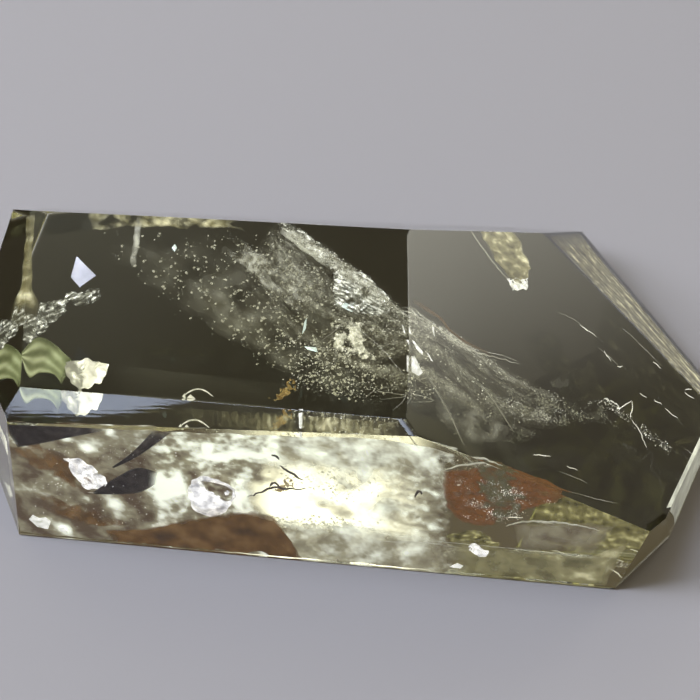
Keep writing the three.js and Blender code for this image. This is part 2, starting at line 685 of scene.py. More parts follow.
def wandering_veil():
    """The main veil: a lacy healed crack that wanders from the top at the back to the right end."""
    top = [(-10.5, 11.5, 20), (-4, 6, 21), (1.5, 0, 22), (6.5, -6, 22), (11, -7, 19),
           (14.5, -8.6, 17), (20, -11, 14), (26.5, -11.5, 10)]
    middle = [(-12.5, 10, 17), (-7, 0.5, 14), (-1, -3, 11), (4, -5, 10), (7, -5, 10),
              (11, -8.5, 9), (17.5, -12.5, 8), (25, -13.5, 7)]
    low = [(-15.5, 4.5, 12), (-8.5, -3.5, 8), (-2, -7.5, 5), (3, -9.5, 3), (5, -10.5, 3),
           (9.5, -12.5, 3), (16.5, -14, 3), (24, -14, 3)]
    rows = [top, middle, low]

    def streaks(along, across):
        wavy = across + 0.05 * noise.noise(Vector((along * 5, 2, 1)))
        broad = noise.noise(Vector((along * 3, wavy * 11, 4)))
        fine = noise.noise(Vector((along * 9, wavy * 40, 9)))
        return 0.5 + 0.75 * broad + 0.45 * fine

    def rim(along, across):
        sides = min(1, across / 0.02 + 0.3) * min(1, (1 - across) / 0.45)
        return sides * min(1, along / 0.08, (1 - along) / 0.12)

    def opening(along, across):
        """1 in the clearer olive part between the bright edge and the second streak."""
        return hill(along, across, 0.2, 0.34, 0.16, 0.2)

    def smoke(along, across, point):
        blots = lumps(point, 3.2, 3)
        border = 1.3 * math.exp(-(across / 0.05) ** 2) * (0.4 + 0.9 * lumps(point, 0.9, 12))
        body = max(0, streaks(along, across) * 0.9 + 0.8 * blots - 0.72)
        body = body * (1 - 0.8 * opening(along, across))
        return (body + border) * rim(along, across) * (1 - 0.25 * along)

    def film_thickness(along, across, point):
        soft = max(0, streaks(along, across) - 0.2) * 0.46 + 0.3 * (lumps(point, 3, 5) - 0.4)
        torn = 0.55 + 0.9 * lumps(point, 0.7, 15)
        border = 0.5 * math.exp(-(across / 0.035) ** 2)
        soft = max(0, soft) * torn * (1 - 0.6 * opening(along, across))
        return (soft + border) * rim(along, across) * (1 - 0.5 * step(along, 0.45, 0.8))

    def film_paleness(along, across, point):
        return 0.15 + 0.45 * streaks(along, across) + 0.5 * (speckled(point, 0.6, 8) - 0.35) - 0.3 * along

    silk("veil_silk", rows, 0.24, VEIL_SILK, film_thickness, film_paleness,
         crumple=((0.35, 2.2), (0.14, 0.7)), seed=4)
    cloud("veil_haze", rows, smoke, HAZE, 150, 0.06, 0.13, 0.8, tumble=40, flatness=0.4, seed=10)
    cloud("veil_dust", rows, smoke, PALE_VEIL, 95, 0.09, 0.24, 0.5, tumble=40, seed=11)
    cloud("veil_sparks", rows, smoke, SPARK, 34, 0.08, 0.34, 0.5, tumble=50, flatness=0.3, seed=12)
    bright_rim = [[(-9, 11.8, 20.4), (-4, 6.4, 21), (1.5, 1, 21.4), (6.5, -5.4, 22.4),
                   (11, -6.8, 19.4), (17, -9.4, 17)],
                  [(-9.6, 10.4, 20), (-4.6, 4.8, 20), (1, -0.6, 20.4), (6, -6.8, 21.4),
                   (10.6, -7.9, 18.4), (16.6, -10.4, 16)]]
    cloud("veil_rim_sparks", bright_rim, lambda u, v, p: lumps(p, 1.2, 3), SPARK,
          34, 0.07, 0.26, 0.25, tumble=60, flatness=0.3, seed=13)


def second_streak():
    """A shorter and softer streak of the veil that lies left of the main one."""
    rows = [[(-17, 10.8, 18), (-14.2, 8.4, 18), (-11.2, 5.9, 17), (-7.1, 2.2, 16), (-4.4, -0.8, 15)],
            [(-17.8, 8.4, 17), (-15.3, 6.2, 16), (-12.2, 2.8, 15), (-8.1, -0.8, 14), (-5.6, -3.6, 13)]]

    def wisps(along, across):
        broad = noise.noise(Vector((along * 4, across * 3, 7)))
        fine = noise.noise(Vector((along * 11, across * 9, 3)))
        return 0.5 + 0.6 * broad + 0.4 * fine + 0.35 * math.exp(-((along - 0.38) / 0.14) ** 2)

    def smoke(along, across, point):
        mottled = 0.35 + 1.3 * lumps(point, 1.6, 4)
        return max(0, wisps(along, across) * 1.3 - 0.3) * mottled * edge_share(along, across, 0.45)

    silk("streak_silk", rows, 0.2, VEIL_SILK, lambda u, v, p: 0.5 * smoke(u, v, p),
         lambda u, v, p: 0.3 * wisps(u, v) + speckled(p, 0.9, 5),
         crumple=((0.4, 2), (0.15, 0.6)), seed=14)
    cloud("streak_dust", rows, smoke, PALE_VEIL, 90, 0.09, 0.26, 0.6, tumble=40, seed=21)


def bubble_cloud():
    """Small gas bubbles, thickest under the veil and thinning out towards the left."""
    rows = [[(-37, 9.5, 20), (-23.5, 11.5, 18), (-12.5, 11, 16), (-3, 4, 16)],
            [(-33, 6.5, 16), (-22, 4.5, 14), (-11, 1.5, 12), (-0.5, -2, 10)],
            [(-25, 2, 12), (-15, -2, 8), (-7, -6, 6), (3, -7, 5)],
            [(-18, -2, 8), (-8, -8, 4), (-1.5, -10.5, 3), (4.5, -10.5, 3)]]

    def thinning(along, across, point):
        blots = lumps(point, 5, 6)
        richer = 0.18 + 0.82 * min(1, along * 1.6) ** 1.5
        return max(0, 1.3 * blots - 0.25) * richer * edge_share(along, across, 0.1)

    cloud("bubble_cloud", rows, thinning, BUBBLE, 7.5, 0.14, 0.58, 1.6, bubbles=True, seed=31)
    silk("bubble_haze", rows, 0.5, VEIL_SILK,
         lambda u, v, p: 0.5 * max(0, lumps(p, 4, 6) - 0.2) * step(edge_share(u, v, 0.5), 0, 1),
         lambda u, v, p: 0.3 + 0.9 * grain(p, 1.4, 5), crumple=((0.8, 4),), seed=25)

    rows = [[(-11, -3.5, 10), (-3.5, -3.5, 9), (5, -6, 8)],
            [(-9.5, -9.5, 4), (-1.5, -11, 3), (5.5, -11.5, 3)]]

    def swarm(along, across, point):
        return lumps(point, 2, 8) * edge_share(along, across, 0.2)

    cloud("bubble_swarm", rows, swarm, SPARK, 20, 0.06, 0.22, 0.7, bubbles=True, seed=32)


def bright_fractures():
    """The brightest cracks in the veil: a silvery one, a white one and a glassy ridge."""

    def silvery(along, across, point):
        hairs = brushed(point, 0.26, 6, 0.84, -0.54)
        return 0.1 + 0.55 * hairs + 0.3 * speckled(point, 0.5, 6) + 0.3 * (1 - across)

    silk("silvery_fracture",
         [[(-2.9, 2.6, 20.2), (-0.3, 3.2, 20.2), (2.4, 0.7, 20), (4.8, -2.3, 19.8)],
          [(-2.9, 0.6, 18.6), (-0.4, 0.4, 18.4), (2.3, -1.4, 18.4), (4.6, -3, 18.4)],
          [(-2.5, -1.3, 17), (-0.5, -3.2, 17), (2.2, -4, 17), (4.4, -3.8, 17.2)]],
         0.1, SILVER_SILK, lambda u, v, p: 0.9 * ragged(u, v, p, 2.2, 2, 0.15), silvery,
         crumple=((0.5, 2), (0.2, 0.6)), seed=2)
    silk("white_fracture",
         [[(-2.6, -1.6, 8.4), (-0.6, 0.4, 8.6), (1, -0.6, 8.4), (3.2, -1.8, 8.6)],
          [(-3.2, -3.9, 8), (-1, -2.6, 8), (1, -3.4, 8), (2.6, -4.2, 8)],
          [(-2.2, -5.6, 7), (-0.4, -6.2, 7), (1.4, -6.6, 7), (3.4, -6.9, 7)]],
         0.12, SNOW_SILK, lambda u, v, p: ragged(u, v, p, 1.3, 3, 0.45),
         lambda u, v, p: 0.3 + speckled(p, 0.45, 4),
         crumple=((0.5, 1.3), (0.25, 0.45), (0.1, 0.2)), seed=3)
    silk("glassy_ridge",
         [[(-9.6, 11.6, 20.6), (-7.3, 10, 20.5), (-4.3, 7.2, 20.2), (-1.6, 3.4, 20.2)],
          [(-10.6, 10.9, 19.5), (-8.4, 8.8, 19.5), (-5.4, 5.9, 19.2), (-2.8, 2.9, 19.2)]],
         0.12, SILVER_SILK, lambda u, v, p: 0.8 * ragged(u, v, p, 1.2, 5),
         lambda u, v, p: 1.1 * brushed(p, 0.3, 6, 0.84, -0.54),
         crumple=((0.3, 1.2), (0.16, 0.4), (0.06, 0.2)), seed=5)
    silk("soft_streak",
         [[(-9.6, 10.9, 19.2), (-7.8, 9.6, 19), (-5, 6.7, 19), (-3, 4.4, 19)],
          [(-10.2, 10.2, 18.8), (-8.4, 8.6, 18.6), (-5.8, 5.9, 18.6), (-3.6, 3.8, 18.6)]],
         0.2, SNOW_SILK, lambda u, v, p: 0.75 * edge_share(u, v, 0.45), lambda u, v, p: 0.75 - 0.5 * u,
         crumple=((0.2, 1.2),), seed=15)
    shards("glassy_streaks", [
        [(-2.3, -1.2, 16), (-1, -1, 16), (0.7, -2, 16), (-0.2, -2.6, 16)],
        [(-6.7, -4.3, 12), (-6.4, -2.2, 12), (-6.1, -1.5, 12), (-6.2, -3.4, 12)],
        [(-6.4, -5.9, 11), (-4.8, -6.1, 11), (-4.6, -6.9, 11), (-5.9, -6.5, 11)],
        [(-24.5, 7.3, 20), (-24.1, 7.9, 20), (-23.8, 7.2, 20), (-24.1, 6.5, 20)],
    ], 0.1, PALE_BLUE_SPOT)
    threads("slanting_hairs", [
        [(-4.8, -11, 22.4), (-2.9, -9.3, 22.6), (-1.2, -7.5, 22.8)],
        [(-0.8, -8, 23.7), (3.2, -12.5, 23.8), (6.3, -17.3, 23.6)],
        [(4.8, -23, 24), (6, -21.6, 24.2), (6.4, -20.1, 24.2)],
    ], 0.07, SCRATCH, wander=0.1)


def left_end_fractures():
    """Cracks near the left end: a crumpled band, a striped shell, a bright chip, a pale triangle."""
    silk("crumpled_band",
         [[(-46.3, -1.3, 12), (-43.5, 0.4, 12), (-41, 2.2, 12), (-37.4, 3.9, 12), (-33.3, 4.4, 12)],
          [(-46, -4.6, 10), (-42.8, -3.9, 10), (-40.4, -1.8, 10.5), (-38, 0.6, 11), (-34, 2.6, 12)]],
         0.12, SILVER_SILK, lambda u, v, p: 0.95 * ragged(u, v, p, 1.1, 7),
         lambda u, v, p: 0.9 * brushed(p, 0.34, 2, 0.9, 0.44),
         crumple=((0.6, 2.2), (0.35, 0.7), (0.12, 0.25)), seed=7)

    def stripes(along, across, point):
        ribs = 0.5 + 0.5 * math.cos(2 * math.pi * (3.2 * across + 0.25 * math.sin(4 * along)))
        return 0.25 + 0.6 * ribs * (1.15 - along) + 0.5 * grain(point, 3, 2)

    silk("striped_shell",
         [[(-44.2, -3.7, 6), (-42.4, -1.2, 6.2), (-40.3, -1.8, 6), (-38.3, -4.1, 6), (-36.6, -6, 5.8)],
          [(-44.2, -4, 5.6), (-42.6, -4.2, 5.2), (-41, -4.2, 5.2), (-39.2, -5.6, 5.2), (-37.2, -8, 5)],
          [(-44.2, -4.3, 5.2), (-43, -7.2, 4.2), (-41.7, -6.5, 4.4), (-39.7, -6.9, 4.6),
           (-38.2, -9.6, 4.4)]],
         0.16, SHELL_SILK, lambda u, v, p: 0.97 * edge_share(min(1, u + 0.1), v, 0.07), stripes,
         crumple=((0.15, 3), (0.05, 1)), seed=9)

    def chip_cover(along, across, point):
        return 0.97 * step(edge_share(along, across, 0.12) + 0.8 * grain(point, 0.7, 2), 0, 0.4)

    def chip_paleness(along, across, point):
        cracks = grain(point, 1.1, 3)
        return 0.02 + 0.15 * across + 0.75 * step(along + 0.5 * cracks, 0.36, 0.46) + 0.9 * cracks

    silk("bright_chip",
         [[(-38.1, -5.2, 6.4), (-36.3, -4.9, 6.4), (-34.6, -5, 6.3), (-32.6, -6.2, 6.2)],
          [(-38.2, -6.6, 5.6), (-36.6, -7.2, 5.4), (-34.4, -7.6, 5.4), (-32.3, -7.6, 5.2)],
          [(-37.2, -8.2, 5.4), (-36, -9.4, 5), (-34.4, -9.4, 5), (-33.2, -8.8, 4.8)]],
         0.14, SNOW_SILK, chip_cover, chip_paleness, crumple=((0.9, 2.2), (0.5, 1.2)), seed=6)
    shards("pale_triangle", [[(-37.4, 8.1, 16), (-34.6, 4.6, 16), (-36.7, 2.9, 15.375), (-38, 4.7, 15.4)]],
           0.004, LILAC)
    silk("golden_end_film",
         [[(-44, 11, 24.9), (-43.9, 5, 24.6), (-44.2, -1.5, 24.3), (-45.4, -5, 23.6), (-45, -10, 23.8)],
          [(-43.2, 11, 25.6), (-43, 5, 25.4), (-42.6, -1.5, 25.2), (-41.4, -5, 25), (-42.2, -10, 25)]],
         0.25, GOLD_SILK,
         lambda u, v, p: 1.5 * lumps(p, 3, 4) * min(1, 3 * v, 3 * (1 - v), 6 * u) * step(u, 0.95, 0.5),
         lambda u, v, p: 0.1 + 0.7 * lumps(p, 1.5, 8), crumple=((0.3, 2.5),), seed=17)


def shell_crack():
    """A thin bright arc where the edge of a clear oval crack catches the light, with white teeth."""
    threads("shell_arc", [[(-22.3, -9.8, 2), (-21.2, -8.8, 2), (-19.7, -8.7, 2), (-18.2, -9.9, 2)]],
            0.24, SNOW, wander=0.1)
    shards("shell_teeth", [
        [(-22.4, -10, 2.4), (-22.1, -9.4, 2.4), (-21.9, -10.2, 2.2)],
        [(-21.8, -10.2, 2.4), (-21.3, -9.6, 2.4), (-20.6, -10.3, 2.2)],
    ], 0.08, SNOW)


def wedge_crack():
    """A narrow olive crack with pale streaks at the back on the right, ending in a white knot."""
    silk("wedge_crack",
         [[(14.8, 13, 19), (16.5, 9.5, 18.4), (18.6, 6, 17.6), (20.5, 4.2, 17)],
          [(19.8, 14.4, 18), (21.4, 11.2, 17.4), (22.6, 7.6, 16.8), (21.8, 4.4, 16.8)]],
         0.2, GOLD_SILK, lambda u, v, p: 0.95 * min(1, 9 * v, 9 * (1 - v), 8 * u + 0.3, 8 * (1 - u)),
         lambda u, v, p: 0.02 + 0.55 * v + 1.4 * grain(p, 1.3, 3),
         crumple=((0.7, 2.2), (0.3, 0.9)), seed=8)
    threads("wedge_rim", [[(13.4, 13, 19.2), (15.4, 9.8, 18.6), (17.8, 6.4, 17.8), (19.6, 4.6, 17.2)]],
            0.14, PALE_VEIL, wander=0.1)
    film("white_knot",
         [[(19.2, 4.8, 17.6), (20.6, 5, 17.4), (22.6, 5.6, 17)],
          [(19.6, 3, 16.4), (20.8, 3.4, 16.4), (22, 4, 16.4)]],
         0.22, SNOW, crumple=((0.6, 1.2), (0.25, 0.5)), lace=0.25, lace_size=0.8, fringe=0.2, seed=9)


def flashes():
    """Small curved chips that flash white just under the ridge between the two top facets."""
    shards("white_flashes", [
        [(6.5, -12, 25.2), (6.9, -12.2, 25.2), (8, -13.5, 24.6), (7.9, -14, 24.6), (7.2, -13.4, 24.9)],
        [(6.5, -14.7, 25.2), (6.9, -14.6, 25.1), (7.9, -16.9, 24.5), (7.4, -17.5, 24.6), (6.5, -17.2, 25)],
        [(8.4, -13.3, 24.4), (8.7, -13.5, 24.3), (9.3, -14.6, 24), (9, -14.5, 24.1)],
        [(6, -9.5, 25.4), (6.3, -10, 25.4), (6.5, -11.2, 25.3), (6.2, -10.8, 25.3)],
        [(9.2, -8.1, 23.8), (9.4, -8.7, 23.7), (9.5, -10.2, 23.6), (9.2, -9.4, 23.7)],
    ], 0.08, SNOW)


def right_end_flaws():
    """Lacy flaws, fine scratches and a film of painted light in the right end."""
    veil_end = [[(14.5, -8.6, 10), (18.6, -7.4, 10), (22.8, -10, 9), (27.6, -11, 8), (30.8, -10.6, 8),
                 (33.8, -12.8, 7)],
                [(15.6, -12, 9), (18.4, -13.6, 8), (21.8, -14, 8), (25, -14.4, 7), (30, -12.6, 7),
                 (33.4, -14, 7)]]

    def lace(along, across, point):
        return max(0, lumps(point, 1.1, 2) * 1.9 - 0.85) * edge_share(along, across, 0.2)

    cloud("end_lace", veil_end, lace, PALE_VEIL, 170, 0.08, 0.28, 0.4, tumble=50, seed=41)
    ridge = [(6.4, -5.9, 24.3), (9, -7.7, 23), (13.7, -9.9, 20.6), (17, -9.9, 19), (20.7, -9.7, 17.2)]
    threads("veil_rim", [ridge], 0.18, PALE_VEIL, wander=0.2)
    patches = [[(16.8, -13.6, 14), (19.6, -13.8, 13), (23, -13.8, 12), (26.5, -13.5, 11.5)],
               [(16.8, -17.2, 14), (19.6, -17.6, 13), (23, -16.6, 12), (26.5, -15.6, 11)]]
    cloud("frosty_patches", patches, lace, SPARK, 120, 0.07, 0.24, 0.4, tumble=50, seed=44)
    chain = [[(29.3, -9.5, 8), (32.3, -9.7, 8), (36.5, -12.2, 7), (40.8, -14.8, 5)],
             [(29, -10.6, 8), (32, -10.9, 8), (36, -13.4, 7), (40.2, -15.8, 5)]]
    cloud("end_chain", chain, lambda u, v, p: lumps(p, 1.2, 3) ** 2, SPARK, 75, 0.07, 0.34, 0.3,
          tumble=60, seed=42)
    curtain = [[(7.6, -8.6, 11), (12.5, -13, 10.5), (18, -16, 10), (22, -17.5, 9.5)],
               [(7.6, -17, 11), (11, -20.5, 10.5), (16.3, -20.4, 11), (22, -18.8, 11.5)]]
    cloud("low_frost", curtain, lace, PALE_VEIL, 110, 0.07, 0.26, 0.5, tumble=60, seed=46)
    silk("low_curtain", curtain, 0.3, VEIL_SILK,
         lambda u, v, p: 0.9 * max(0, lumps(p, 2.2, 9) - 0.35) * (1 - 0.6 * u) * edge_share(u, v, 0.4),
         lambda u, v, p: 0.35 + 0.8 * grain(p, 0.9, 5), crumple=((0.5, 2),), seed=27)
    # Painted light: a white glowing film just inside the right end, standing in for the bright strip of
    # light seen through the right end facets.
    silk("painted_light_end_film",
         [[(40.1, -27.6, 10.9), (43.9, -18.5, 9.6), (47.6, -9.5, 8.2)],
          [(41.8, -24, 4.8), (44.9, -16, 4), (48.8, -6.2, 3.4)],
          [(42, -22, 0.6), (45.8, -13, 0.6), (49.6, -4, 0.6)]],
         0.35, SNOW_SILK, lambda u, v, p: 0.85,
         lambda u, v, p: 0.25 + 0.4 * u + 0.6 * grain(p, 2.5, 3), seed=28)
    film("end_flakes",
         [[(31, -9, 8.4), (32.2, -9, 8), (33.6, -9.9, 7.8)],
          [(31, -9.8, 8), (32.5, -10.1, 7.6), (33.8, -10.6, 7.4)]],
         0.16, SNOW, crumple=((0.6, 1.1), (0.3, 0.5)), lace=0.55, lace_size=0.7, fringe=0.2, seed=3)
    threads("fine_scratches", [
        [(26.3, 1.3, 15), (28.6, 0.8, 14), (31.7, -1.2, 13)],
        [(31.7, -2.9, 13), (33.3, -3.9, 12), (34.7, -5.4, 12)],
        [(35.6, 1.2, 13), (38, -0.8, 12), (41, -3.5, 10.5)],
        [(24, -22, 7), (26.5, -22.5, 6.5), (28, -23, 6)],
        [(24, -24, 5), (29.5, -24.8, 4.8), (32, -25, 4.6)],
        [(45.2, -0.8, 8), (45.9, -3.2, 8), (45.7, -6.2, 7)],
        [(42.9, -16, 8), (43.9, -16.5, 8), (44.1, -17.2, 7.4), (43.3, -18.4, 7)],
        [(13.6, -7.7, 16), (15.6, -7.8, 16), (18, -8.1, 16), (20.3, -8.8, 16)],
        [(6.4, -11.3, 8), (3.4, -12.1, 8), (6.6, -13, 8), (3.6, -13.7, 8)],
        [(1.7, -14.3, 10), (2.6, -13.3, 10), (3.4, -12.2, 10)],
    ], 0.08, SCRATCH, wander=0.12)
    threads("end_glints", [
        [(29.2, 0.7, 13), (30.3, -0.2, 13), (31.7, -1.2, 13)],
        [(32.5, -2.8, 12), (32.9, -3.8, 12), (33.4, -4.7, 12)],
        [(34.3, -5.3, 12), (34.7, -5.5, 12), (35.2, -5.1, 12)],
        [(37, -8, 9), (37.5, -8.3, 9), (38.1, -8.6, 9)],
        [(39.2, -8.7, 9), (39.7, -9.1, 9), (40.3, -9.6, 9)],
        [(40.6, -9.5, 8), (41.4, -10.3, 8), (42.5, -11.1, 8)],
        [(39.5, -2.7, 10), (40.1, -3, 10), (40.8, -3.6, 10)],
        [(33.6, -11.6, 9), (34.8, -10.4, 9), (35.8, -9.5, 9)],
        [(35.8, -9.5, 9), (35.7, -11.1, 9), (35.4, -12.7, 9)],
        [(35.5, -12.3, 8), (36.3, -13.6, 8), (36.9, -15, 8), (37.4, -16.9, 8)],
        [(43.8, -6.2, 8), (44.4, -6.9, 8), (45.2, -7.2, 8)],
        [(43.8, -6, 8), (44.4, -5.7, 8), (45, -5.6, 8)],
        [(20.1, -19.4, 6), (21.4, -19.2, 6), (22.8, -19.4, 6)],
        [(25, -20.5, 6), (25.8, -20.8, 6), (26.7, -21.1, 6)],
    ], 0.15, SPARK, wander=0.25)


def curved_lines():
    """Faint curved growth lines that cross the sloping top facet."""
    threads("growth_lines", [
        [(7.1, -14, 19.6), (8.5, -16.3, 18), (10.1, -19.2, 16), (11.6, -22.9, 14)],
        [(14.4, -12.9, 15), (16.2, -15.2, 14), (18.5, -18.8, 12)],
    ], 0.3, GROWTH_LINE)


def brown_fleck():
    """A rusty leaf-shaped fleck under the middle of the large top facet."""
    film("brown_fleck",
         [[(-11.2, -11.8, 4.4), (-9.4, -9.6, 4.8), (-7.6, -8.4, 5.2)],
          [(-10, -12, 4), (-8.6, -11.2, 4.2), (-7, -10.2, 4.6)]],
         0.2, RUST_GOLD, crumple=((0.6, 1.6), (0.3, 0.5)), lace=0.34, lace_size=0.7, fringe=0.35, seed=5)


FOOT = 0.12


def behind_front(depth, *places):
    """Places given by their x and height, set a depth behind the front facet."""
    normal, reach = min(FACETS, key=lambda facet: facet[0].y)
    at_depth = reach / MM - depth
    return [(x, (at_depth - normal.x * x - normal.z * z) / normal.y, z) for x, z in places]


def at_foot(*xs):
    """Places given by their x only, at the lowest height that a film reaches."""
    return [(x, FOOT) for x in xs]


def x_and_height(point):
    """Where a point lies in x and z, in millimetres."""
    return point.x / MM, point.z / MM


# Painted highlights on the front film: white spots, each given by its middle x and height and its half
# width and half height, in millimetres.
FRONT_PAINTED_HIGHLIGHTS = (
    (-34.3, 18.4, 1.3, 1.8), (-37.4, 19.6, 0.8, 0.8), (-31.4, 22, 0.6, 1), (-35.4, 7.6, 0.8, 0.8),
    (-31.9, 6.7, 1.3, 1), (-31.4, 4.2, 0.8, 1.2), (-25, 10.4, 2, 3.6), (-19, 20.2, 0.7, 1.5),
    (-24.5, 19.6, 1.6, 0.8), (-38.6, 1.6, 0.9, 0.8), (-17, 18.6, 0.8, 0.8), (-14.6, 9, 1.2, 2),
)
STREAK_LENGTH = 7
STREAK_WIDTH = 2.2


def front_cloudiness():
    """Soft patches of brown, olive and cream just behind the front facet: partly the stone's own mottling,
    partly painted light, for the film glows and its paler right part and white spots stand in for the
    bright room seen through the stone.
    """
    film_rows = [
        behind_front(1.1, (-45, 21.5), (-30, 22.7), (-18, 23.6), (-8, 24.4), (4, 25.3), (12.6, 23.7)),
        behind_front(2.4, (-45, 10), (-30, 11), (-18, 12), (-8, 12), (4, 12), (12.6, 12)),
        behind_front(0.6, *at_foot(-45, -30, -18, -8, 4, 12.6)),
    ]

    def slanting(x, z, seed):
        """Streaks that slope down to the right, from about 0 to 1."""
        down, out = (0.82 * x - 0.57 * z) / STREAK_LENGTH, (0.57 * x + 0.82 * z) / STREAK_WIDTH
        return 0.5 + 0.8 * noise.noise(Vector((down, out, seed)))

    def clearness(x, z):
        """1 in the clear part in the middle, where the bright room behind shows through."""
        ragged_rim = -13 + 0.1 * (z - 11) + 3 * noise.noise(Vector((z * 0.45, x * 0.1, 3)))
        top = 1 - 0.7 * step(z, 15.5, 20.5)
        foot = 0.3 + 0.7 * step(z, 4.5, 8)
        return step(x, ragged_rim - 2.2, ragged_rim + 1.6) * top * foot

    def thickness(along, across, point):
        x, z = x_and_height(point)
        grey_patches = 0.5 * hill(x, z, 4, 10, 3.6, 2.4) + 0.6 * hill(x, z, 1.1, 17.5, 0.7, 2.6)
        clouds = 1.2 * max(0, lumps(point, 4, 12) - 0.48)
        torn_end = step(x + 3 * grain(point, 1.5, 14), 12.4, 9.4)
        return min(0.94, 1 - 0.97 * clearness(x, z) + grey_patches + clouds) * torn_end

    def paleness(along, across, point):
        x, z = x_and_height(point)
        leftmost = 1 - step(x, -31, -25)
        broad = grain(point, 3.4, 5)
        fine = grain(point, 0.8, 6)
        patchy = 0.46 + 1.5 * broad + 0.45 * fine + 0.18 * step(z, 9, 13)
        streaky = 0.23 + 0.85 * (slanting(x, z, 3) - 0.5) + 0.5 * broad + 0.4 * fine
        mixed = streaky * leftmost + patchy * (1 - leftmost)
        # Painted highlights and painted light: white spots, and a paler part right of the middle, which is
        # made darker again near the foot.
        spots = sum(hill(x, z, *spot) for spot in FRONT_PAINTED_HIGHLIGHTS)
        middle = step(x, -14, -7)
        brighter = mixed * (1 - 0.5 * middle) + 0.45 * middle + 0.75 * spots
        return brighter - 0.2 * middle * (1 - step(z, 3, 8))

    silk("front_cloudiness", film_rows, 0.24, FRONT_SILK, thickness, paleness,
         crumple=((0.3, 3),), seed=6)

    def soft_rim(along, across, point):
        whole = edge_share(along, across, 0.45) + 1.2 * grain(point, 1.6, 4)
        return 0.85 * step(whole, 0.05, 0.9)

    def foot_rim(along, across, point):
        inside = min(1, 3.3 * across, 10 * along, 10 * (1 - along))
        return 0.97 * step(inside + 0.5 * grain(point, 1.8, 4), 0.05, 0.7)

    stains = {
        "front_stain": (foot_rim, [
            behind_front(0.6, (-33.5, 2.2), (-27, 3.8), (-21, 6.8), (-15.5, 8.8), (-11, 8.4), (-8, 2)),
            behind_front(0.5, *at_foot(-33.5, -27, -21, -15.5, -10.5, -7))]),
        "left_stain": (soft_rim, [
            behind_front(1.1, (-44.8, 19.4), (-41, 18.6), (-37.6, 16.4), (-33.5, 10.4)),
            behind_front(1.1, (-44.4, 14.2), (-41, 13.2), (-38.2, 11), (-35, 8))]),
        "low_left_stain": (soft_rim, [
            behind_front(1.1, (-42.5, 9.6), (-37, 7), (-33.5, 6.2), (-30, 4)),
            behind_front(1.1, (-41.5, 5.4), (-37, 3), (-33.8, 0.9), (-30.6, 0.9))]),
    }
    for name, (cover, rows) in stains.items():
        silk(name, rows, 0.24, BROWN_SILK, cover, lambda u, v, p: 0.55 + 1.1 * grain(p, 2.4, 2),
             crumple=((0.15, 1.6),), seed=2)
    dark = {
        "front_dark_wedge": [
            behind_front(0.8, (-45.3, 22), (-41, 22.3), (-36, 22.6), (-32.2, 22.8)),
            behind_front(0.8, (-43.7, 17.6), (-41, 18.6), (-36, 20.8), (-32.2, 22.4))],
        "upper_blade": [
            behind_front(0.8, (-31.6, 15.3), (-28.8, 18.6), (-25.9, 23.2)),
            behind_front(0.8, (-31.4, 15.1), (-27.8, 18.2), (-23.4, 23.4))],
        "lower_blade": [
            behind_front(0.9, (-34.4, 9.8), (-31, 13.4), (-28.2, 15.6), (-25.6, 15)),
            behind_front(0.9, (-34.2, 9.4), (-31, 9.8), (-28.2, 10.6), (-26, 12.6))],
    }
    for name, rows in dark.items():
        silk(name, rows, 0.2, DARK_SILK,
             lambda u, v, p: 0.97 * min(1, 8 * u + 0.3, 5 * (1 - u), 9 * v + 0.2, 9 * (1 - v) + 0.2),
             lambda u, v, p: 0.05 + 0.65 * u * u + 0.8 * grain(p, 1.2, 6), seed=3)


CHIP_THICKNESS = 0.08


